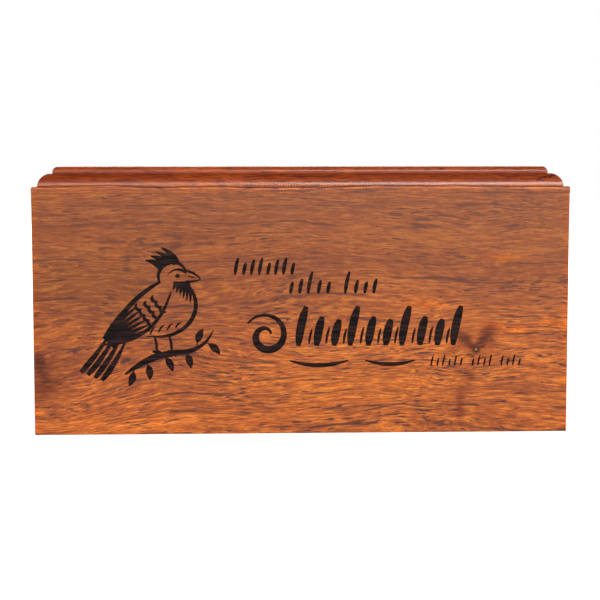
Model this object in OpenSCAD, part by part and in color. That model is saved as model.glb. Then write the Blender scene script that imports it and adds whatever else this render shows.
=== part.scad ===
// Box urn of solid boards: four walls, a moulded top board glued over them and
// a base panel let into their lower edges, held up by four countersunk screws.
// The origin is at the middle of the underside. +Z is up and the front faces -Y.

/* [Overall size] */
// Length from side to side
box_length = 254; // [180:1:380]
// Depth from front to back
box_depth = 178; // [120:1:280]
// Height from the shelf to the flat of the top
box_height = 127; // [80:1:220]

/* [Wall boards] */
// Thickness of the front, back and side boards
wall_thickness = 12.5; // [10:0.1:20]
// Radius of the eased outside edges
edge_ease = 0.8; // [0.2:0.1:1]
// Radius of the edges that meet at the glue line under the top board
seam_ease = 0.2; // [0.1:0.05:0.5]

/* [Top moulding] */
// Height of the square band at the foot of the moulding
band_height = 3.0; // [2:0.1:6]
// Width of the flat ledge on top of the band
ledge_width = 2.6; // [1:0.1:6]
// Radius of the quarter round
round_radius = 6.4; // [3:0.1:12]
// Height of the raised flat above the quarter round
tier_height = 3.1; // [2:0.1:6]
// Radius of the upper edge of the raised flat
tier_ease = 2.6; // [0.3:0.1:3]

/* [Base panel] */
// Thickness of the base panel
base_thickness = 8; // [5:0.1:14]
// How far the panel's underside stands up from the shelf
base_recess = 1; // [0.5:0.1:3]
// Width of the wall's lip that hides the panel's edge
wall_lip = 4; // [3:0.1:5]
// Gap between the panel's edge and the lip
base_clearance = 0.3; // [0.1:0.05:0.6]

/* [Base screws] */
// Length of a screw, with its head
screw_length = 20; // [16:0.5:26]
// Diameter of the shank
screw_diameter = 2.8; // [2.4:0.1:3.2]
// Diameter of the countersunk head
head_diameter = 5.2; // [4.6:0.1:5.6]
// Height of the head's straight rim
head_rim = 0.4; // [0.2:0.1:0.8]
// Distance of each screw from the end of the box
screw_from_end = 32; // [24:1:60]
// Gap around the shank and the head
screw_clearance = 0.1; // [0.05:0.05:0.3]
// Width of one arm of the driver recess
recess_arm = 0.7; // [0.5:0.1:0.9]
// Depth of the driver recess
recess_depth = 1.0; // [0.6:0.1:1.2]

/* [Hidden] */

wood_colour = [0.60, 0.29, 0.15];
top_colour = [0.50, 0.22, 0.11];
end_board_colour = [0.54, 0.26, 0.13];
base_colour = [0.46, 0.24, 0.14];
screw_colour = [0.74, 0.60, 0.32];

// Reach of a cut past the face that it opens
cut_over = 1;
curve_sides = 96;

top_thickness = band_height + round_radius + tier_height;
wall_height = box_height - top_thickness;
moulding_width = ledge_width + round_radius;
side_length = box_depth - 2 * wall_thickness;
// The rounded upper edge takes no more than the raised flat's own height.
tier_round = min(tier_ease, tier_height);

ledge_height = base_recess + base_thickness;
panel_edge = wall_lip + base_clearance;

shank_radius = screw_diameter / 2;
head_radius = head_diameter / 2;
head_cone = head_radius - shank_radius;
tip_length = screw_diameter;
pilot_gap = 1;
screw_x = box_length / 2 - screw_from_end;
screw_y = box_depth / 2 - (wall_lip + wall_thickness) / 2;

// What an inside corner of radius r takes off a square corner at the origin.
module corner_waste(r) {
    difference() {
        translate([-cut_over, -cut_over]) square(cut_over + r);
        translate([r, r]) circle(r, $fn = curve_sides);
    }
}

// A rectangle from the origin with its own radius at each corner: lower left,
// lower right, upper right, upper left. A radius of 0 leaves the corner square.
module eased_rectangle(size, radii) {
    corners = [[0, 0], [size.x, 0], size, [0, size.y]];
    difference() {
        square(size);
        for (i = [0:3]) {
            if (radii[i] > 0) translate(corners[i]) rotate(90 * i) corner_waste(radii[i]);
        }
    }
}

// A profile drawn across and up, carried along X and centred on it.
module along_x(length) {
    translate([-length / 2, 0, 0]) rotate([90, 0, 90]) linear_extrude(length) children();
}

// A profile drawn across and up, carried along Y and centred on it.
module along_y(length) {
    translate([0, length / 2, 0]) rotate([90, 0, 0]) linear_extrude(length) children();
}

// A wall's section with its outside face on the left.
module wall_section() {
    eased_rectangle([wall_thickness, wall_height], [edge_ease, 0, 0, seam_ease]);
}

// The seat for the base panel: a rebate round the inside of the walls' feet,
// which leaves a lip on every side.
module base_seat() {
    translate([-box_length / 2 + wall_lip, -box_depth / 2 + wall_lip, -cut_over])
        cube([box_length - 2 * wall_lip, box_depth - 2 * wall_lip, cut_over + ledge_height]);
}

// Blind holes in the walls that the base screws bite into.
module pilot_holes() {
    for (x = [-screw_x, screw_x], y = [-screw_y, screw_y]) {
        translate([x, y, ledge_height - cut_over])
            cylinder(
                h = cut_over + screw_length - base_thickness + pilot_gap,
                r = shank_radius + screw_clearance,
                $fn = curve_sides
            );
    }
}

// A board as long as the box, standing at the front. It covers the ends of the
// side boards, so its own end grain shows at the sides of the box.
module long_wall() {
    difference() {
        intersection() {
            translate([0, -box_depth / 2, 0]) along_x(box_length) wall_section();
            translate([-box_length / 2, -box_depth / 2, 0])
                linear_extrude(wall_height)
                    eased_rectangle([box_length, wall_thickness], [edge_ease, edge_ease, 0, 0]);
        }
        base_seat();
        pilot_holes();
    }
}

// A board between the front and the back, standing at the left.
module side_wall() {
    difference() {
        translate([-box_length / 2, 0, 0]) along_y(side_length) wall_section();
        base_seat();
    }
}

// The top board's outline seen from one side: square band, flat ledge, quarter
// round and raised flat. The quarter round's foot stands on the ledge.
module moulding_outline(width) {
    tier_width = width - 2 * moulding_width;
    eased_rectangle([width, band_height], [seam_ease, seam_ease, edge_ease, edge_ease]);
    intersection() {
        translate([ledge_width, band_height])
            square([width - 2 * ledge_width, round_radius]);
        union() {
            translate([moulding_width, band_height]) circle(round_radius, $fn = curve_sides);
            translate([width - moulding_width, band_height]) circle(round_radius, $fn = curve_sides);
            translate([moulding_width, 0]) square([tier_width, band_height + round_radius]);
        }
    }
    translate([moulding_width, band_height + round_radius - cut_over])
        eased_rectangle([tier_width, tier_height + cut_over], [0, 0, tier_round, tier_round]);
}

module front_board() {
    color(wood_colour) long_wall();
}

module back_board() {
    color(wood_colour) mirror([0, 1, 0]) long_wall();
}

module left_board() {
    color(end_board_colour) side_wall();
}

module right_board() {
    color(end_board_colour) mirror([1, 0, 0]) side_wall();
}

// The moulding runs round all four edges and is mitred by the two outlines.
module top_board() {
    color(top_colour)
        translate([0, 0, wall_height])
            intersection() {
                translate([0, -box_depth / 2, 0]) along_x(box_length) moulding_outline(box_depth);
                translate([-box_length / 2, 0, 0]) along_y(box_depth) moulding_outline(box_length);
            }
}

// The hole for one screw in the base panel, with its head at the underside.
module screw_hole() {
    hole_radius = shank_radius + screw_clearance;
    sink_radius = head_radius + screw_clearance;
    translate([0, 0, -cut_over])
        cylinder(h = base_thickness + 2 * cut_over, r = hole_radius, $fn = curve_sides);
    translate([0, 0, -cut_over]) cylinder(h = cut_over + head_rim, r = sink_radius, $fn = curve_sides);
    translate([0, 0, head_rim])
        cylinder(h = head_cone, r1 = sink_radius, r2 = hole_radius, $fn = curve_sides);
}

module base_panel() {
    panel = [box_length - 2 * panel_edge, box_depth - 2 * panel_edge];
    color(base_colour)
        translate([0, 0, base_recess])
            difference() {
                intersection() {
                    translate([0, -panel.y / 2, 0])
                        along_x(panel.x)
                            eased_rectangle([panel.y, base_thickness], [edge_ease, edge_ease, 0, 0]);
                    translate([-panel.x / 2, 0, 0])
                        along_y(panel.y)
                            eased_rectangle([panel.x, base_thickness], [edge_ease, edge_ease, 0, 0]);
                }
                for (x = [-screw_x, screw_x], y = [-screw_y, screw_y]) {
                    translate([x, y, 0]) screw_hole();
                }
            }
}

// A countersunk wood screw standing on its head, with a crossed driver recess.
module base_screw(side, face) {
    tip_at = screw_length - tip_length;
    color(screw_colour)
        translate([side * screw_x, face * screw_y, base_recess])
            difference() {
                union() {
                    cylinder(h = head_rim, r = head_radius, $fn = curve_sides);
                    translate([0, 0, head_rim])
                        cylinder(h = head_cone, r1 = head_radius, r2 = shank_radius, $fn = curve_sides);
                    cylinder(h = tip_at, r = shank_radius, $fn = curve_sides);
                    translate([0, 0, tip_at])
                        cylinder(h = tip_length, r1 = shank_radius, r2 = 0, $fn = curve_sides);
                }
                for (turn = [0, 90]) {
                    rotate(turn)
                        translate([-shank_radius, -recess_arm / 2, -cut_over])
                            cube([screw_diameter, recess_arm, cut_over + recess_depth]);
                }
            }
}

module front_left_screw() {
    base_screw(-1, -1);
}

module front_right_screw() {
    base_screw(1, -1);
}

module back_left_screw() {
    base_screw(-1, 1);
}

module back_right_screw() {
    base_screw(1, 1);
}

front_board();
back_board();
left_board();
right_board();
top_board();
base_panel();
front_left_screw();
front_right_screw();
back_left_screw();
back_right_screw();
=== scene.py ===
import math

import bpy
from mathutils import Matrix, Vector


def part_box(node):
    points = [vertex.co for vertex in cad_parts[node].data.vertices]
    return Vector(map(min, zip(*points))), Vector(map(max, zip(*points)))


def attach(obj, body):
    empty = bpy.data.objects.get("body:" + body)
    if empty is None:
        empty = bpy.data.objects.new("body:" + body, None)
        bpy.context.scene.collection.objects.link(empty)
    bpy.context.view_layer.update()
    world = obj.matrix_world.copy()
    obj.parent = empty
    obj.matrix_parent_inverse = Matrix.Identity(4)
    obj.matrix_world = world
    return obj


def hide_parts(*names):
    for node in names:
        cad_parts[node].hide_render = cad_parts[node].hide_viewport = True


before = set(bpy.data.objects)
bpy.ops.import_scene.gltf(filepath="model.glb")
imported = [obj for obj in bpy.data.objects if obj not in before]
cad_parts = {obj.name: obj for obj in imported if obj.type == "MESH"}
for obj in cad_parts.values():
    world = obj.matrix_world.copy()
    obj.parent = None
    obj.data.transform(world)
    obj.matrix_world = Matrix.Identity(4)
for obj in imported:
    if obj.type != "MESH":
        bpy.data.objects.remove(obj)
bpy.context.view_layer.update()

# A box urn of red-brown rosewood boards with an engraved front. Sizes on the
# boards and in the materials are in millimetres; the pieces are in metres.

MM = 0.001
PER_METRE = 1000.0

front_low, front_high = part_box("front_board")
top_low, top_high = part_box("top_board")
face_y = front_low.y
middle_height = top_high.z / 2


# ---------------------------------------------------------------- node helpers

def node(tree, kind, inputs=None, **settings):
    """Adds a node, makes its settings, and fills or links its inputs."""
    made = tree.nodes.new(kind)
    for name, value in settings.items():
        setattr(made, name, value)
    for name, value in (inputs or {}).items():
        socket = made.inputs[name]
        if isinstance(value, bpy.types.NodeSocket):
            tree.links.new(value, socket)
        else:
            socket.default_value = value
    return made


def math_node(tree, operation, first, second=0.0):
    return node(tree, "ShaderNodeMath", {0: first, 1: second}, operation=operation).outputs[0]


def vector_math(tree, operation, first, second):
    return node(tree, "ShaderNodeVectorMath", {0: first, 1: second}, operation=operation).outputs[0]


def stretched(tree, place, scale, seed=(0, 0, 0)):
    """The place scaled by its own amount on each axis, and shifted."""
    mapping = node(tree, "ShaderNodeMapping", {"Vector": place, "Scale": scale, "Location": seed})
    return mapping.outputs[0]


def noise(tree, place, detail, roughness=0.5):
    """Noise one millimetre across before the place is stretched."""
    fills = {"Vector": place, "Scale": 1.0, "Detail": detail, "Roughness": roughness}
    return node(tree, "ShaderNodeTexNoise", fills)


def spread(tree, value, low, high, to_low=0.0, to_high=1.0):
    """Takes a value from one range to another and stops at its ends."""
    fills = {"Value": value, "From Min": low, "From Max": high, "To Min": to_low, "To Max": to_high}
    return node(tree, "ShaderNodeMapRange", fills, interpolation_type="SMOOTHSTEP").outputs[0]


def blend_colour(tree, share, first, second, blend_type="MIX"):
    mixed = tree.nodes.new("ShaderNodeMix")
    mixed.data_type = "RGBA"
    mixed.blend_type = blend_type
    for name, value in (("Factor_Float", share), ("A_Color", first), ("B_Color", second)):
        socket = next(s for s in mixed.inputs if s.identifier == name)
        if isinstance(value, bpy.types.NodeSocket):
            tree.links.new(value, socket)
        else:
            socket.default_value = value
    return next(s for s in mixed.outputs if s.identifier == "Result_Color")


def group(name, takes, gives):
    """A new shader node group with its sockets. Returns tree, inputs, outputs."""
    tree = bpy.data.node_groups.new(name, "ShaderNodeTree")
    for socket_name, kind in takes:
        tree.interface.new_socket(socket_name, in_out="INPUT", socket_type=kind)
    for socket_name, kind in gives:
        tree.interface.new_socket(socket_name, in_out="OUTPUT", socket_type=kind)
    return tree, tree.nodes.new("NodeGroupInput").outputs, tree.nodes.new("NodeGroupOutput").inputs


def placed(tree, group_tree, inputs):
    return node(tree, "ShaderNodeGroup", inputs, node_tree=group_tree).outputs


def colour(red, green, blue):
    """A colour as it is read off a paint card, 0 to 255, made linear."""
    def linear(share):
        return share / 12.92 if share <= 0.04045 else ((share + 0.055) / 1.055) ** 2.4

    return tuple(linear(part / 255) for part in (red, green, blue)) + (1.0,)


# ------------------------------------------------------------------ wood groups

FLOAT, VECTOR, COLOUR = "NodeSocketFloat", "NodeSocketVector", "NodeSocketColor"
NOISE_MIDDLE = (0.5, 0.5, 0.5)


def make_rosewood():
    """Oiled rosewood with its grain along X, in millimetres."""
    tree, takes, gives = group(
        "rosewood",
        (("Place", VECTOR), ("Deep", COLOUR), ("Middle", COLOUR), ("Bright", COLOUR), ("Pore", COLOUR)),
        (("Color", COLOUR), ("Roughness", FLOAT), ("Height", FLOAT)),
    )
    place = takes["Place"]
    wander_reach, ripple_reach = 16.0, 0.8
    darkest, lightest = 0.95, 1.59
    glint_tint = (1.22, 0.92, 0.42, 1.0)
    pore_edge, crowding, pore_softness = 0.650, 0.105, 0.055
    pore_darkness, pore_depth = 0.84, 0.7
    ring_pitch, ring_lean, ring_core, ring_reach = 9.0, 0.4, 0.25, 0.8
    smoothest, roughest = 0.36, 0.50

    # The fibres wander by a few millimetres over a hand's width
    wander = noise(tree, stretched(tree, place, (0.011, 0.03, 0.03)), 2.0).outputs["Color"]
    wander = vector_math(tree, "SUBTRACT", wander, NOISE_MIDDLE)
    wander = vector_math(tree, "MULTIPLY", wander, (0.0, wander_reach, wander_reach))
    ripple = noise(tree, stretched(tree, place, (0.09, 0.16, 0.16)), 2.0).outputs["Color"]
    ripple = vector_math(tree, "SUBTRACT", ripple, NOISE_MIDDLE)
    ripple = vector_math(tree, "MULTIPLY", ripple, (0.0, ripple_reach, ripple_reach))
    fibre = vector_math(tree, "ADD", vector_math(tree, "ADD", place, wander), ripple)

    bands = noise(tree, stretched(tree, fibre, (0.005, 0.055, 0.055)), 3.0, 0.6).outputs["Fac"]
    clouds = noise(tree, stretched(tree, fibre, (0.018, 0.05, 0.05), (40, 9, 3)), 2.0, 0.55).outputs["Fac"]
    streaks = noise(tree, stretched(tree, fibre, (0.035, 0.55, 0.55), (7, 0, 0)), 3.0, 0.6).outputs["Fac"]
    fibres = noise(tree, stretched(tree, fibre, (0.11, 1.15, 1.15), (0, 5, 0)), 4.0, 0.78).outputs["Fac"]

    tone = 0.0
    for layer, weight in ((bands, 0.42), (clouds, 0.20), (streaks, 0.42), (fibres, 1.5)):
        tone = math_node(tree, "ADD", math_node(tree, "MULTIPLY", layer, weight), tone)
    tone = spread(tree, tone, darkest, lightest)
    lower = blend_colour(tree, spread(tree, tone, 0.0, 0.55), takes["Deep"], takes["Middle"])
    wood = blend_colour(tree, spread(tree, tone, 0.5, 1.0), lower, takes["Bright"])

    # Here and there a thin orange dash where the oil has sunk in
    glint = noise(tree, stretched(tree, fibre, (0.09, 0.8, 0.8), (60, 20, 7)), 2.0, 0.5).outputs["Fac"]
    glint = math_node(tree, "MULTIPLY", spread(tree, glint, 0.60, 0.72), spread(tree, clouds, 0.40, 0.60))
    wood = blend_colour(tree, glint, wood, glint_tint, "MULTIPLY")

    # Open pores: short dark dashes, thicker on the ground in some bands
    dash = noise(tree, stretched(tree, fibre, (0.12, 1.15, 1.15), (3, 8, 1)), 2.0, 0.5).outputs["Fac"]
    crowd = noise(tree, stretched(tree, fibre, (0.016, 0.08, 0.08), (90, 1, 4)), 2.0).outputs["Fac"]
    crowd = spread(tree, crowd, 0.38, 0.68)
    edge = math_node(tree, "SUBTRACT", pore_edge, math_node(tree, "MULTIPLY", crowd, crowding))
    pore = spread(tree, math_node(tree, "SUBTRACT", dash, edge), 0.0, pore_softness)

    # A broken thin line of pores along each growth ring
    across = node(tree, "ShaderNodeSeparateXYZ", {"Vector": fibre}).outputs
    rings = math_node(tree, "ADD", across["Z"], math_node(tree, "MULTIPLY", across["Y"], ring_lean))
    rings = math_node(tree, "FRACT", math_node(tree, "DIVIDE", rings, ring_pitch))
    from_ring = math_node(tree, "ABSOLUTE", math_node(tree, "SUBTRACT", rings, 0.5))
    ring = spread(tree, from_ring, ring_core / ring_pitch, ring_reach / ring_pitch, 1.0, 0.0)
    broken = noise(tree, stretched(tree, fibre, (0.035, 0.12, 0.12), (11, 4, 30)), 2.0, 0.6).outputs["Fac"]
    ring = math_node(tree, "MULTIPLY", ring, spread(tree, broken, 0.42, 0.54))
    ring = math_node(tree, "MULTIPLY", ring, spread(tree, dash, 0.40, 0.56, 0.35, 1.0))
    pore = math_node(tree, "MAXIMUM", pore, ring)
    wood = blend_colour(tree, math_node(tree, "MULTIPLY", pore, pore_darkness), wood, takes["Pore"])

    rough = spread(tree, streaks, 0.3, 0.7, smoothest, roughest)
    height = math_node(tree, "SUBTRACT", fibres, math_node(tree, "MULTIPLY", pore, pore_depth))
    tree.links.new(wood, gives["Color"])
    tree.links.new(rough, gives["Roughness"])
    tree.links.new(height, gives["Height"])
    return tree


def make_soft_patch():
    """A soft round mask on the face of a board, 1 at its middle and 0 outside."""
    tree, takes, gives = group(
        "soft_patch",
        (("Place", VECTOR), ("Middle", VECTOR), ("Turn", FLOAT), ("Size", VECTOR), ("Fray", FLOAT)),
        (("Mask", FLOAT),),
    )
    fray = noise(tree, stretched(tree, takes["Place"], (0.16, 0.3, 0.3)), 3.0, 0.6).outputs["Color"]
    fray = vector_math(tree, "SUBTRACT", fray, NOISE_MIDDLE)
    fray_fills = {0: fray, "Scale": takes["Fray"]}
    fray = node(tree, "ShaderNodeVectorMath", fray_fills, operation="SCALE").outputs[0]
    local = vector_math(tree, "ADD", vector_math(tree, "SUBTRACT", takes["Place"], takes["Middle"]), fray)
    turn_fills = {"Vector": local, "Angle": takes["Turn"]}
    turned = node(tree, "ShaderNodeVectorRotate", turn_fills, rotation_type="Y_AXIS").outputs[0]
    local = vector_math(tree, "DIVIDE", turned, takes["Size"])
    reach = node(tree, "ShaderNodeVectorMath", {0: local}, operation="LENGTH").outputs["Value"]
    tree.links.new(spread(tree, reach, 0.15, 1.0, 1.0, 0.0), gives["Mask"])
    return tree


rosewood = make_rosewood()
soft_patch = make_soft_patch()


# -------------------------------------------------------------------- materials

# Deep, middle and bright wood of the walls, the top and the base
WALL_COLOURS = (colour(124, 62, 40), colour(168, 88, 42), colour(212, 122, 52))
TOP_COLOURS = (colour(112, 38, 12), colour(144, 56, 17), colour(172, 76, 26))
BASE_COLOURS = (colour(112, 68, 50), colour(146, 92, 62), colour(176, 118, 80))
WALL_MIDDLE = WALL_COLOURS[1]
PORE = colour(68, 42, 42)
TOP_PORE = colour(84, 30, 14)

GRAIN_ALONG_Y = math.radians(90)
GRAIN_BUMP = 0.00004
WOOD_SPECULAR = 0.3
BAND_HEIGHT = 3.0
PATCH_DEPTH = 40.0
QUIETER = 0.3


def blank_material(name):
    material = bpy.data.materials.new(name)
    material.use_nodes = True
    tree = material.node_tree
    tree.nodes.clear()
    shader = node(tree, "ShaderNodeBsdfPrincipled")
    output = node(tree, "ShaderNodeOutputMaterial")
    tree.links.new(shader.outputs[0], output.inputs["Surface"])
    return material, tree, shader


def millimetres(tree, turn=0.0, shift=(0, 0, 0)):
    """The piece's own place in millimetres, turned so the grain runs along X."""
    place = node(tree, "ShaderNodeTexCoord").outputs["Object"]
    fills = {
        "Vector": place,
        "Scale": (PER_METRE,) * 3,
        "Rotation": (0, 0, turn),
        "Location": shift,
    }
    return node(tree, "ShaderNodeMapping", fills).outputs[0]


def grown(tree, place, colours, pore):
    """Rosewood at a place, in its three colours and that of its pores."""
    deep, middle, bright = colours
    fills = {"Place": place, "Deep": deep, "Middle": middle, "Bright": bright, "Pore": pore}
    return placed(tree, rosewood, fills)


def finish(tree, shader, shade, roughness, height, bump, specular=0.5, coat=0.0, coat_roughness=0.3):
    """Joins a colour, a roughness and a height to the shader, and sets its gloss."""
    tree.links.new(shade, shader.inputs["Base Color"])
    shader.inputs["Specular IOR Level"].default_value = specular
    tree.links.new(roughness, shader.inputs["Roughness"])
    raised = node(tree, "ShaderNodeBump", {"Height": height, "Strength": 1.0, "Distance": bump})
    tree.links.new(raised.outputs[0], shader.inputs["Normal"])
    shader.inputs["Coat Weight"].default_value = coat
    shader.inputs["Coat Roughness"].default_value = coat_roughness


def board(name, turn, shift, colours=WALL_COLOURS, coat=0.15, coat_roughness=0.28):
    """A plain board of rosewood under satin lacquer, with a quieter grain."""
    material, tree, shader = blank_material(name)
    wood = grown(tree, millimetres(tree, turn, shift), colours, PORE)
    shade = blend_colour(tree, QUIETER, wood["Color"], colours[1])
    rough, height = wood["Roughness"], wood["Height"]
    finish(tree, shader, shade, rough, height, GRAIN_BUMP, WOOD_SPECULAR, coat, coat_roughness)
    return material


def patch(tree, place, middle, size, turn=0.0, fray=3.0):
    """A soft patch at a place on the face, given across and up."""
    across, up = middle
    wide, high = size
    fills = {
        "Place": place,
        "Middle": (across, face_y * PER_METRE, up),
        "Turn": math.radians(turn),
        "Size": (wide, PATCH_DEPTH, high),
        "Fray": fray,
    }
    return placed(tree, soft_patch, fills)["Mask"]


def tint(tree, shade, mask, strength, by):
    """Multiplies the wood by a tint where the mask is, and keeps its grain."""
    return blend_colour(tree, math_node(tree, "MULTIPLY", mask, strength), shade, by + (1.0,), "MULTIPLY")


KNOT = (83.0, 40.0)


def flow_round_knot(tree, place):
    """Lets the grain part above and below the knot."""
    lift = patch(tree, place, (KNOT[0], KNOT[1] + 7), (26, 13), fray=0.0)
    drop = patch(tree, place, (KNOT[0] - 2, KNOT[1] - 9), (24, 13), fray=0.0)
    part_by, sweep_by = 2.4, 12.0
    rise = math_node(tree, "MULTIPLY", math_node(tree, "SUBTRACT", drop, lift), part_by)
    # It also sweeps up from the dark swirl at the left edge
    swirl = patch(tree, place, (-127, 20), (75, 42), fray=0.0)
    sweep = math_node(tree, "MULTIPLY", swirl, sweep_by)
    rise = math_node(tree, "ADD", rise, sweep)
    return vector_math(tree, "ADD", place, node(tree, "ShaderNodeCombineXYZ", {"Z": rise}).outputs[0])


def front_wood():
    """The engraved board: a painted cool sheen at the top, orange below, with a pin knot."""
    material, tree, shader = blank_material("rosewood_front")
    place = millimetres(tree)
    grain_place = vector_math(tree, "ADD", flow_round_knot(tree, place), (31, 0, 12))
    wood = grown(tree, grain_place, WALL_COLOURS, PORE)
    shade = wood["Color"]
    parts = node(tree, "ShaderNodeSeparateXYZ", {"Vector": place}).outputs
    half_length = front_high.x * PER_METRE
    # Painted sheen: a cool grey haze of reflected light painted over the top of the face, and the lower face
    # painted lighter and more orange
    drift = noise(tree, stretched(tree, place, (0.008, 0.02, 0.02), (2, 6, 0)), 2.0).outputs["Fac"]
    level = math_node(tree, "ADD", parts["Z"], math_node(tree, "MULTIPLY", drift, 60.0))
    high = spread(tree, level, 62.0, 130.0)
    shade = blend_colour(tree, math_node(tree, "MULTIPLY", high, 0.34), shade, WALL_MIDDLE)
    shade = tint(tree, shade, high, 1.0, (0.82, 0.86, 0.96))
    shade = tint(tree, shade, spread(tree, level, 112.0, 50.0), 1.0, (1.22, 1.20, 1.04))
    shade = tint(tree, shade, patch(tree, place, (52, 34), (95, 34), 4, 20.0), 0.8, (1.14, 1.14, 0.95))
    shade = tint(tree, shade, patch(tree, place, (-92, 8), (60, 22), 6, 14.0), 1.0, (1.26, 1.26, 1.14))

    # Red-brown swirl at the left edge, and the darker cloud above the middle
    shade = tint(tree, shade, patch(tree, place, (-127, 29), (20, 16), 0, 7.0), 1.0, (0.54, 0.48, 0.62))
    shade = tint(tree, shade, patch(tree, place, (-124, 34), (4.5, 10), 20, 4.0), 1.0, (0.50, 0.45, 0.55))
    shade = tint(tree, shade, patch(tree, place, (-121, 23), (10, 5), 20, 4.0), 1.0, (0.72, 0.62, 0.62))
    shade = tint(tree, shade, patch(tree, place, (-96, 73), (58, 24), 0, 16.0), 1.0, (0.82, 0.85, 0.88))

    # Painted rim light: more orange along the upright edges of the face, where side light grazes their eased
    # corners
    from_middle = math_node(tree, "ABSOLUTE", parts["X"])
    painted_rim_light = spread(tree, from_middle, half_length - 4.0, half_length - 0.8)
    near_face = spread(tree, parts["Y"], face_y * PER_METRE + 3.0, face_y * PER_METRE + 0.8)
    painted_rim_light = math_node(tree, "MULTIPLY", painted_rim_light, near_face)
    shade = tint(tree, shade, painted_rim_light, 1.0, (1.22, 1.0, 0.5))

    # The knot: two dark arms above, a stem below and a ring round a light pin
    x, z = KNOT
    arms = (
        ((x - 4.7, z + 3.9), (9.0, 3.8), -46),
        ((x - 6.5, z + 5.8), (7.0, 5.2), -40),
        ((x + 4.2, z + 5.6), (9.5, 4.2), 60),
        ((x + 6.0, z + 6.8), (8.5, 6.0), 48),
        ((x - 0.5, z + 1.5), (4.2, 3.6), 0),
        ((x + 1.8, z + 2.2), (5.5, 3.2), 60),
        ((x - 2.2, z + 1.8), (5.5, 3.0), -46),
    )
    shade = tint(tree, shade, patch(tree, place, (x, z + 3), (20, 13), 0, 4.0), 1.0, (0.78, 0.72, 0.74))
    for middle, size, turn in arms:
        shade = tint(tree, shade, patch(tree, place, middle, size, turn, 4.5), 1.0, (0.60, 0.53, 0.58))
    stem = (
        ((x - 1.4, z - 5), (2.6, 6.5), 0),
        ((x - 3.4, z - 13), (4.4, 6.5), 0),
        ((x - 7.4, z - 22), (3.6, 11), 0),
        ((x - 7.4, z - 30), (4.6, 7), 0),
    )
    for middle, size, turn in stem:
        shade = tint(tree, shade, patch(tree, place, middle, size, turn, 3.0), 1.0, (0.66, 0.56, 0.60))
    away = vector_math(tree, "SUBTRACT", place, (x, face_y * PER_METRE, z))
    reach = node(tree, "ShaderNodeVectorMath", {0: away}, operation="LENGTH").outputs["Value"]
    pin = spread(tree, reach, 0.4, 0.8, 1.0, 0.0)
    rim = math_node(tree, "MULTIPLY", spread(tree, reach, 0.6, 1.0), spread(tree, reach, 1.3, 1.8, 1.0, 0.0))
    shade = blend_colour(tree, math_node(tree, "MULTIPLY", rim, 0.85), shade, colour(36, 24, 24))
    shade = blend_colour(tree, math_node(tree, "MULTIPLY", pin, 0.7), shade, colour(200, 124, 76))

    # Thin orange flecks beside the knot and over the rows
    flecks = (
        ((91, 51), (8, 3)),
        ((103, 49), (12, 3)),
        ((96, 84), (14, 3)),
        ((60, 62), (20, 3)),
        ((121, 52), (16, 4)),
    )
    for middle, size in flecks:
        shade = tint(tree, shade, patch(tree, place, middle, size, 0, 6.0), 1.0, (1.40, 1.22, 0.55))
    coat, coat_roughness = 0.06, 0.30
    rough, height = wood["Roughness"], wood["Height"]
    finish(tree, shader, shade, rough, height, GRAIN_BUMP, WOOD_SPECULAR, coat, coat_roughness)
    return material


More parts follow.
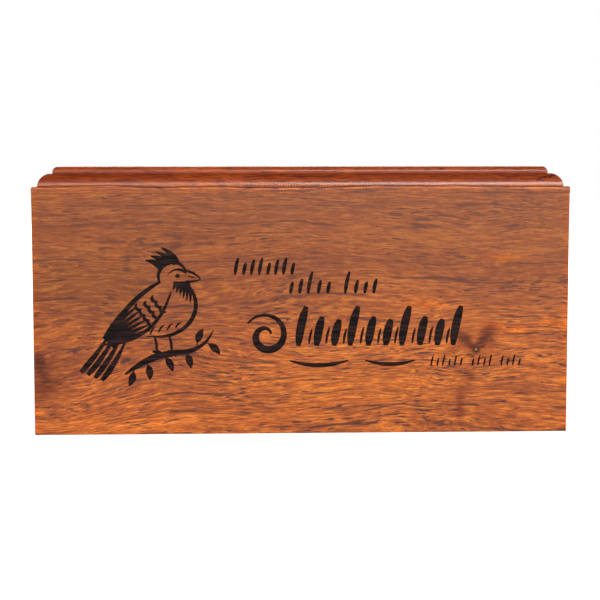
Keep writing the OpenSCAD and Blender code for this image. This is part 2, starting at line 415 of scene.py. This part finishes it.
def top_wood():
    """The moulded board: glossier, darker, with cutter marks on the round and painted light on its
    mouldings.
    """
    material, tree, shader = blank_material("rosewood_top")
    place = millimetres(tree, 0.0, (140, 20, 60))
    wood = grown(tree, place, TOP_COLOURS, TOP_PORE)
    band_wood = grown(tree, place, WALL_COLOURS, PORE)
    own = millimetres(tree)
    parts = node(tree, "ShaderNodeSeparateXYZ", {"Vector": own}).outputs
    edge_x, edge_y = top_high.x * PER_METRE, top_high.y * PER_METRE
    inwards = math_node(
        tree,
        "MINIMUM",
        math_node(tree, "SUBTRACT", edge_x, math_node(tree, "ABSOLUTE", parts["X"])),
        math_node(tree, "SUBTRACT", edge_y, math_node(tree, "ABSOLUTE", parts["Y"])),
    )
    band_top = top_low.z * PER_METRE + BAND_HEIGHT
    # Painted light: the lower half of the round, which faces the lamps, takes the lighter wall wood and a
    # warm painted highlight
    band_shade = blend_colour(tree, QUIETER, band_wood["Color"], WALL_MIDDLE)
    low_round = spread(tree, parts["Z"], band_top + 2.8, band_top + 0.6)
    shade = blend_colour(tree, low_round, wood["Color"], band_shade)
    off_band = spread(tree, parts["Z"], band_top - 0.1, band_top + 0.3)
    above_band = math_node(tree, "MULTIPLY", low_round, off_band)
    shade = tint(tree, shade, above_band, 1.0, (1.34, 1.22, 0.72))
    # A painted highlight along the rounded edge of the raised flat
    rim = spread(tree, inwards, 12.2, 10.6)
    rim = math_node(tree, "MULTIPLY", rim, spread(tree, parts["Z"], band_top + 6.4, band_top + 6.9))
    shade = tint(tree, shade, rim, 1.0, (1.26, 1.34, 1.1))

    # Pooled finish and painted shade make a dark line in the corner under the round, and a painted highlight
    # runs along the eased edge below it
    corner_sway, corner_drop = 2.8, 1.35
    dark_line = (0.0, (0.46, 0.34, 0.30))
    painted_edge_highlight = (-0.8, (1.5, 1.42, 1.3))
    sway = noise(tree, stretched(tree, own, (0.03, 0.03, 0.0)), 1.0).outputs["Fac"]
    sway = math_node(tree, "MULTIPLY", sway, corner_sway)
    corner_height = math_node(tree, "ADD", sway, band_top - corner_drop)
    above_corner = math_node(tree, "SUBTRACT", parts["Z"], corner_height)
    outer, inner = spread(tree, inwards, 0.9, 0.5), spread(tree, inwards, 2.2, 2.6)
    off_ledge = math_node(tree, "MAXIMUM", outer, inner)
    for offset, line_tint in (dark_line, painted_edge_highlight):
        away = math_node(tree, "ABSOLUTE", math_node(tree, "SUBTRACT", above_corner, offset))
        line = math_node(tree, "MULTIPLY", spread(tree, away, 0.15, 0.5, 1.0, 0.0), off_ledge)
        shade = tint(tree, shade, line, 1.0, line_tint)

    # Thin dark scratches at the right end of the round and on the flat's edge
    scratches = (
        ((113.0, 3.4), 2.8, 28),
        ((116.0, 4.5), 2.6, 20),
        ((118.5, 4.6), 2.4, 38),
        ((121.0, 5.5), 2.2, 30),
        ((60.0, 7.9), 2.8, 12),
        ((67.0, 8.2), 2.6, -6),
        ((-67.0, -0.6), 2.8, -14),
        ((-25.0, -0.4), 3.0, 0),
    )
    scratch_width = 0.62
    for (x, up), length, turn in scratches:
        where = patch(tree, own, (x, band_top + up), (length, scratch_width), turn, 0.5)
        shade = tint(tree, shade, where, 1.0, (0.22, 0.22, 0.34))

    # Ticks that the cutter left along the round, strongest near the middle and worn faint towards the ends
    mark_pitch = 1.3
    round_width = 9.0
    turns = math.tau / mark_pitch
    marks = []
    for along, across, edge in (("X", "Y", edge_y), ("Y", "X", edge_x)):
        wave = math_node(tree, "SINE", math_node(tree, "MULTIPLY", parts[along], turns))
        from_edge = math_node(tree, "SUBTRACT", edge, math_node(tree, "ABSOLUTE", parts[across]))
        on_round = spread(tree, from_edge, round_width, round_width - 2, 0, 1)
        marks.append(math_node(tree, "MULTIPLY", wave, on_round))
    from_middle = math_node(tree, "ABSOLUTE", math_node(tree, "SUBTRACT", parts["X"], 12.0))
    worn = spread(tree, from_middle, 32.0, 62.0, 1.0, 0.15)
    worn = math_node(tree, "MULTIPLY", worn, above_band)
    chatter = math_node(tree, "MULTIPLY", math_node(tree, "ADD", marks[0], marks[1]), worn)
    # The ticks are also darkened in colour: stain in the cutter marks, and painted shade that breaks up the
    # highlight on the round
    tick_stain_and_shade = math_node(tree, "MULTIPLY", spread(tree, chatter, 0.1, 0.9), above_band)
    shade = tint(tree, shade, tick_stain_and_shade, 1.0, (0.50, 0.42, 0.38))
    nicks = noise(tree, stretched(tree, own, (0.5, 0.5, 1.2)), 3.0, 0.7).outputs["Fac"]
    rougher = spread(tree, inwards, round_width + 3, round_width, 0.08, 0.8)
    nicks = math_node(tree, "MULTIPLY", nicks, rougher)
    height = math_node(tree, "ADD", math_node(tree, "MULTIPLY", chatter, 0.34), nicks)
    height = math_node(tree, "ADD", height, math_node(tree, "MULTIPLY", wood["Height"], 0.14))
    bump, coat, coat_roughness, extra_coat = 0.00022, 0.3, 0.18, 0.4
    finish(tree, shader, shade, wood["Roughness"], height, bump, WOOD_SPECULAR, coat, coat_roughness)
    gloss = math_node(tree, "ADD", math_node(tree, "MULTIPLY", above_band, extra_coat), coat)
    tree.links.new(gloss, shader.inputs["Coat Weight"])
    return material


def burnt_wood():
    """The floor of the engraving: near black, with the grain showing through."""
    material, tree, shader = blank_material("burnt_engraving")
    place = millimetres(tree)
    lines = noise(tree, stretched(tree, place, (0.06, 0.6, 0.75)), 3.0, 0.6).outputs["Fac"]
    share = spread(tree, lines, 0.40, 0.70)
    shade = blend_colour(tree, share, colour(15, 9, 8), colour(54, 32, 28))
    rough = spread(tree, lines, 0.3, 0.7, 0.78, 0.62)
    bump, specular = 0.00012, 0.15
    finish(tree, shader, shade, rough, lines, bump, specular)
    return material


def dull_brass():
    """Brass of the base screws, brushed and a little tarnished."""
    material, tree, shader = blank_material("dull_brass")
    place = millimetres(tree)
    tarnish = noise(tree, stretched(tree, place, (0.7, 0.7, 0.7)), 4.0, 0.6).outputs["Fac"]
    shade = blend_colour(tree, spread(tree, tarnish, 0.4, 0.7), colour(206, 168, 92), colour(132, 98, 54))
    rough = spread(tree, tarnish, 0.3, 0.7, 0.28, 0.5)
    bump = 0.00003
    finish(tree, shader, shade, rough, tarnish, bump)
    shader.inputs["Metallic"].default_value = 1.0
    return material


# ------------------------------------------------------- drawing of the strokes

# A stroke is a list of (across, up, width) on the face, in millimetres.
FULL = (0.5, 0.9, 1.0, 1.0, 0.9, 0.5)
BOTH_ENDS = (0.3, 0.8, 1.0, 0.8, 0.3)
HEAVY_END = (0.3, 0.6, 0.8, 1.0, 1.0, 0.7)
HEAVY_START = (1.0, 1.0, 0.8, 0.5, 0.15)
LEAF = (0.15, 0.25, 0.9, 1.0, 0.7, 0.1)


def between(first, last, share):
    return tuple(a + (b - a) * share for a, b in zip(first, last))


def stroke(start, end, width, bow, shape=BOTH_ENDS):
    """A stroke between two points, bowed to its left, that swells as its shape says."""
    run, rise = end[0] - start[0], end[1] - start[1]
    points = []
    for k, swell in enumerate(shape):
        share = k / (len(shape) - 1)
        side = 4 * bow * share * (1 - share)
        x, z = between(start, end, share)
        points.append((x - rise * side, z + run * side, width * swell))
    return points


def arc(middle, radius, start, end, width, shape):
    """A stroke along an arc, from one angle to another in degrees."""
    points = []
    for k, swell in enumerate(shape):
        angle = math.radians(start + (end - start) * k / (len(shape) - 1))
        x = middle[0] + radius * math.cos(angle)
        z = middle[1] + radius * math.sin(angle)
        points.append((x, z, width * swell))
    return points


def fan(starts, ends, count, width, bow, shape):
    """Strokes side by side, from along one line to along another."""
    shares = [i / (count - 1) for i in range(count)]
    return [stroke(between(*starts, s), between(*ends, s), width, bow, shape) for s in shares]


def songbird():
    """A small crested songbird that looks to the right."""
    # crown, crest, eye and brow
    head = (-61, 75)
    crown_radius = 7
    drawn = [arc(head, crown_radius, 205, 25, 1.7, FULL)]
    for i in range(4):
        angle = math.radians(140 - 22 * i)
        root = (head[0] + 6.5 * math.cos(angle), head[1] + 6.5 * math.sin(angle))
        drawn.append(stroke(root, (-74 + 2.5 * i, 83 + 2 * i), 3.4, -0.1, HEAVY_START))
    drawn.append(stroke((-60, 75.6), (-57.8, 75.6), 2.1, 0, (0.45, 0.9, 1.0, 0.9, 0.45)))
    drawn.append(stroke((-54.6, 77.2), (-63.5, 76.5), 1.5, -0.2, (1.0, 0.9, 0.6, 0.25)))
    # beak and bib
    drawn.append(stroke((-55, 78), (-48, 74), 1.2, 0.1, (1.0, 1.0, 0.8, 0.5)))
    drawn.append(stroke((-55, 73), (-48, 74), 1.1, -0.06, (0.8, 1.0, 0.8, 0.5)))
    drawn.append(stroke((-54, 75.5), (-50, 74.5), 0.6, 0, (0.8, 1.0, 0.4)))
    drawn += fan(((-60, 73), (-54, 73)), ((-61, 69), (-53, 62.5)), 6, 1.6, 0.05, (0.9, 1.0, 0.8, 0.2))
    # breast, belly, back and flank
    breast = [
        (-54, 72, 0.7),
        (-51, 66, 1.7),
        (-50.5, 60, 2.0),
        (-53, 54, 2.0),
        (-58, 49.5, 1.8),
        (-65, 47, 1.4),
        (-74, 47, 0.4),
    ]
    drawn.append(breast)
    drawn.append(stroke((-67, 73), (-92, 46), 2.3, -0.08, FULL))
    drawn += fan(((-60, 51), (-72, 48)), ((-57, 54), (-69, 52)), 4, 0.9, 0.1, (0.9, 1.0, 0.2))
    # wing: lower edge, rows of scallops, flight feathers
    shoulder, tip = (-62, 68), (-95, 43)
    drawn.append(stroke(shoulder, tip, 1.7, 0.18, FULL))
    length = math.dist(shoulder, tip)
    out = ((tip[0] - shoulder[0]) / length, (tip[1] - shoulder[1]) / length)
    facing = math.degrees(math.atan2(out[1], out[0]))
    for line, count in enumerate((3, 3, 4)):
        for i in range(count):
            far = 7.5 + 4.2 * line
            aside = 3.2 * (i - (count - 1) / 2) - 1.0
            x = shoulder[0] + out[0] * far + out[1] * aside
            z = shoulder[1] + out[1] * far - out[0] * aside
            drawn.append(arc((x, z), 1.8, facing - 85, facing + 85, 1.6, (0.4, 1.0, 1.0, 0.4)))
    drawn += fan(((-80, 63), (-72, 50)), ((-94, 46), (-90, 42)), 7, 1.9, -0.04, (0.4, 0.9, 1.0, 0.9, 0.7))
    # tail
    drawn += fan(((-92, 47), (-84, 44)), ((-105, 30), (-95, 26)), 4, 2.7, 0.03, HEAVY_END)
    return drawn


def leafy_bough():
    """The bough that the bird stands on, rising to the right."""
    bough = [
        (-84, 29, 1.0),
        (-78, 33, 2.4),
        (-70, 37, 3.4),
        (-61, 39, 3.0),
        (-53, 40, 2.3),
        (-46, 44, 1.5),
        (-42, 50, 0.4),
    ]
    drawn = [bough]
    leaf_length = 9
    leaves = (
        (-80, 32, 255),
        (-74, 35, 280),
        (-66, 38, 300),
        (-56, 40, 290),
        (-50, 42, 70),
        (-46, 44, 320),
    )
    for x, z, turn in leaves:
        angle = math.radians(turn)
        end = (x + leaf_length * math.cos(angle), z + leaf_length * math.sin(angle))
        drawn.append(stroke((x, z), end, 3.4, 0.08, LEAF))
    for x in (-69, -62):
        drawn.append(stroke((x - 1, 47), (x, 40), 1.3, 0.05, (0.8, 1.0, 1.0)))
        drawn += [stroke((x + toe, 40), (x + toe + 2, 37), 1.3, 0.3, (1.0, 1.0, 0.4)) for toe in (-2, 0)]
    return drawn


def dabs(left, right, foot, height, pitch, width, rhythm, gaps=()):
    """A row of slanted brush dabs whose heights repeat in a rhythm."""
    lean = 0.1
    drawn = []
    for i in range(int((right - left) / pitch) + 1):
        if i in gaps:
            continue
        rise = height * rhythm[i % len(rhythm)]
        x = left + pitch * i
        drawn.append(stroke((x - lean * rise, foot), (x + lean * rise, foot + rise), width, 0.03, FULL))
    return drawn


def spiral():
    """The flourish before the long row, on an opening spiral."""
    middle, steps, turns = (-17, 47), 18, 1.35
    points = []
    for k in range(steps + 1):
        share = k / steps
        angle = math.radians(20) + math.tau * turns * share
        radius = 2.2 + 8.6 * share
        swell = 1.0 + 2.6 * math.sin(math.pi * share) ** 1.5
        x = middle[0] + radius * math.cos(angle)
        z = middle[1] + radius * math.sin(angle)
        points.append((x, z, swell))
    return points


def rows_of_dabs():
    """Four rows of dabs where a dedication would go. They stand for no letters."""
    drawn = dabs(-31, -4, 76, 8, 3.8, 1.7, (1.0, 0.7, 0.9))
    drawn += dabs(-5, 38, 67, 7, 4.4, 1.8, (0.8, 1.0, 1.5, 0.9), gaps=(5,))
    drawn += dabs(0, 74, 42, 14, 8.2, 4.0, (1.35, 1.0, 0.9))
    drawn += dabs(3.9, 70, 43, 8, 8.2, 1.2, (0.9, 1.0))
    drawn += dabs(62, 105, 32, 5, 2.8, 0.9, (1.0, 0.8, 1.1, 0.7), gaps=(6, 11))
    drawn.append(spiral())
    drawn.append(stroke((-6, 35), (22, 35), 2.2, -0.08))
    drawn.append(stroke((30, 35), (54, 35), 2.0, -0.08))
    return drawn


# ----------------------------------------------------------------- the engraving

# In millimetres. Each stroke is cut a hair deeper than the one before, so that
# no two floors lie in one plane where strokes cross.
SAMPLES = 5
LEAST_WIDTH = 0.25
CUT_DEPTH = 0.40
DEPTH_STEP = 0.0007
CUT_OVER = 1.0
MERGE = 1e-7
SMOOTH_ANGLE = math.radians(20)


def between_two(p, q, r, s, t):
    """The value at a share t from q to r, on a smooth curve through all four."""
    bend = (2 * p - 5 * q + 4 * r - s) * t**2
    twist = (3 * q - p - 3 * r + s) * t**3
    return 0.5 * (2 * q + (r - p) * t + bend + twist)


def curved(points):
    """More points along a stroke, on a smooth curve through its own."""
    smooth = []
    last = len(points) - 1
    for i in range(last):
        before, a, b, after = points[max(i - 1, 0)], points[i], points[i + 1], points[min(i + 2, last)]
        for k in range(SAMPLES):
            four = zip(before, a, b, after)
            smooth.append(tuple(between_two(p, q, r, s, k / SAMPLES) for p, q, r, s in four))
    return smooth + [tuple(points[-1])]


def select_only(piece):
    bpy.ops.object.select_all(action="DESELECT")
    piece.select_set(True)
    bpy.context.view_layer.objects.active = piece


def link(name, data):
    piece = bpy.data.objects.new(name, data)
    bpy.context.scene.collection.objects.link(piece)
    return piece


def make_section():
    """A flat bar's section, which is swept along each stroke."""
    curve = bpy.data.curves.new("cutter_section", "CURVE")
    curve.dimensions = "2D"
    line = curve.splines.new("POLY")
    corners = ((-1, -0.5), (1, -0.5), (1, 0.5), (-1, 0.5))
    line.points.add(len(corners) - 1)
    for point, (x, y) in zip(line.points, corners):
        point.co = (x, y, 0, 1)
    line.use_cyclic_u = True
    return link("cutter_section", curve)


def cutter(points, section, depth):
    """The solid that one stroke takes out of the board."""
    curve = bpy.data.curves.new("cutter", "CURVE")
    curve.dimensions = "2D"
    curve.bevel_mode = "OBJECT"
    curve.bevel_object = section
    curve.use_fill_caps = True
    samples = curved(points)
    line = curve.splines.new("POLY")
    line.points.add(len(samples) - 1)
    for point, (x, z, width) in zip(line.points, samples):
        point.co = (x * MM, z * MM, 0, 1)
        point.radius = max(width, LEAST_WIDTH) / 2 * MM
    piece = link("cutter", curve)
    select_only(piece)
    bpy.ops.object.convert(target="MESH")
    piece = bpy.context.view_layer.objects.active
    for vertex in piece.data.vertices:
        x, z, level = vertex.co
        reach = -CUT_OVER if level > 0 else depth
        vertex.co = (x, face_y + reach * MM, z)
    return piece


def clean_shell(piece, outwards):
    """Merges doubles and, where asked, turns all faces outwards."""
    select_only(piece)
    bpy.ops.object.mode_set(mode="EDIT")
    bpy.ops.mesh.select_all(action="SELECT")
    bpy.ops.mesh.remove_doubles(threshold=MERGE)
    if outwards:
        bpy.ops.mesh.normals_make_consistent(inside=False)
    bpy.ops.object.mode_set(mode="OBJECT")


def engraved_front(wood, burnt):
    """The front board with every stroke cut into its face."""
    section = make_section()
    strokes = songbird() + leafy_bough() + rows_of_dabs()
    cutters = [cutter(points, section, CUT_DEPTH + DEPTH_STEP * i) for i, points in enumerate(strokes)]
    bpy.ops.object.select_all(action="DESELECT")
    for piece in cutters:
        piece.select_set(True)
    bpy.context.view_layer.objects.active = cutters[0]
    bpy.ops.object.join()
    tool = cutters[0]
    clean_shell(tool, True)
    tool.data.materials.clear()
    tool.data.materials.append(burnt)

    piece = link("engraved_front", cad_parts["front_board"].data.copy())
    piece.data.materials.clear()
    piece.data.materials.append(wood)
    select_only(piece)
    bpy.ops.mesh.customdata_custom_splitnormals_clear()
    clean_shell(piece, False)
    cut = piece.modifiers.new("engraving", "BOOLEAN")
    cut.operation = "DIFFERENCE"
    cut.solver = "EXACT"
    cut.use_self = True
    cut.material_mode = "TRANSFER"
    cut.object = tool
    bpy.ops.object.modifier_apply(modifier=cut.name)
    select_only(piece)
    bpy.ops.object.shade_smooth_by_angle(angle=SMOOTH_ANGLE)
    bpy.data.objects.remove(tool)
    bpy.data.objects.remove(section)
    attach(piece, "root")
    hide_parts("front_board")


def dress(node_name, material):
    """Gives a board or screw its finish."""
    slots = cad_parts[node_name].data.materials
    slots.clear()
    slots.append(material)


# ------------------------------------------------------------- camera and light

def make_camera():
    """A long lens a little above the top board, turned slightly to the right."""
    look_down, roll, turn = 5.26, 0.05, -2.18
    away = 0.695
    data = bpy.data.cameras.new("camera")
    data.sensor_width = 36.0
    data.lens = 88.46
    data.clip_end = 20.0
    camera = link("camera", data)
    camera.location = (-27.5 * MM, face_y - away, 128 * MM)
    camera.rotation_euler = (math.radians(90 - look_down), math.radians(roll), math.radians(turn))
    bpy.context.scene.camera = camera


def softbox(name, place, size, power):
    """A soft light that the camera doesn't see, aimed at the middle of the box."""
    data = bpy.data.lights.new(name, "AREA")
    data.shape = "RECTANGLE"
    data.size, data.size_y = size
    data.energy = power
    light = link(name, data)
    light.location = place
    aim = Vector((0, 0, middle_height)) - Vector(place)
    light.rotation_euler = aim.to_track_quat("-Z", "Y").to_euler()
    light.visible_camera = False


def make_room():
    """White all round to the eye, but dim overhead, so the gloss has shape."""
    world = bpy.data.worlds.new("studio")
    bpy.context.scene.world = world
    world.use_nodes = True
    tree = world.node_tree
    tree.nodes.clear()
    direction = node(tree, "ShaderNodeTexCoord").outputs["Generated"]
    up = node(tree, "ShaderNodeSeparateXYZ", {"Vector": direction}).outputs["Z"]
    at_horizon, overhead = 0.32, 0.06
    strength = spread(tree, up, 0.0, 0.75, at_horizon, overhead)
    unseen = node(tree, "ShaderNodeBackground", {"Color": (1, 1, 1, 1), "Strength": strength}).outputs[0]
    seen = node(tree, "ShaderNodeBackground", {"Color": (1, 1, 1, 1), "Strength": 1.0}).outputs[0]
    by_eye = node(tree, "ShaderNodeLightPath").outputs["Is Camera Ray"]
    mixed = node(tree, "ShaderNodeMixShader", {0: by_eye, 1: unseen, 2: seen}).outputs[0]
    output = node(tree, "ShaderNodeOutputWorld")
    tree.links.new(mixed, output.inputs["Surface"])


def make_floor():
    """A big pale floor under the box."""
    half = 4.0
    bpy.ops.object.select_all(action="DESELECT")
    bpy.ops.mesh.primitive_plane_add(size=2 * half, location=(0, 0, 0))
    floor = bpy.context.object
    floor.name = "floor"
    material, tree, shader = blank_material("pale_floor")
    floor_place = node(tree, "ShaderNodeTexCoord").outputs["Object"]
    mottle = noise(tree, floor_place, 2.0).outputs["Fac"]
    shade = blend_colour(tree, mottle, (0.78, 0.78, 0.78, 1), (0.82, 0.82, 0.82, 1))
    tree.links.new(shade, shader.inputs["Base Color"])
    shader.inputs["Roughness"].default_value = 0.9
    away = node(tree, "ShaderNodeVectorMath", {0: floor_place}, operation="LENGTH").outputs["Value"]
    near_glow, far_glow = 0.76, 1.1
    glow = spread(tree, away, 0.15, 0.8, near_glow, far_glow)
    by_eye = node(tree, "ShaderNodeLightPath").outputs["Is Camera Ray"]
    tree.links.new(math_node(tree, "MULTIPLY", glow, by_eye), shader.inputs["Emission Strength"])
    shader.inputs["Emission Color"].default_value = (1, 1, 1, 1)
    floor.data.materials.append(material)


# ------------------------------------------------------------------- the assembly

# Each light's name, place, size and power
LIGHTS = (
    ("key", (0.55, -2.0, 1.05), (1.1, 0.7), 30),
    ("fill", (-0.45, -2.0, 1.05), (0.9, 0.7), 6.5),
    ("side_left", (-1.9, -0.6, 0.9), (1.2, 1.2), 6),
    ("side_right", (1.9, -0.2, 0.9), (1.2, 1.2), 9),
    ("back", (0.2, 2.1, 1.1), (1.8, 1.2), 26),
)

make_camera()
make_room()
make_floor()
for light in LIGHTS:
    softbox(*light)

engraved_front(front_wood(), burnt_wood())
dress("back_board", board("rosewood_back", 0.0, (310, 0, 70)))
dress("left_board", board("rosewood_left", GRAIN_ALONG_Y, (80, 33, 15)))
dress("right_board", board("rosewood_right", GRAIN_ALONG_Y, (510, 91, 44)))
dress("top_board", top_wood())
dress("base_panel", board("plain_base", 0.0, (700, 55, 5), BASE_COLOURS, 0.1, 0.4))
brass = dull_brass()
for screw in ("front_left_screw", "front_right_screw", "back_left_screw", "back_right_screw"):
    dress(screw, brass)

scene = bpy.context.scene
scene.view_settings.view_transform = "Standard"
scene.view_settings.look = "None"
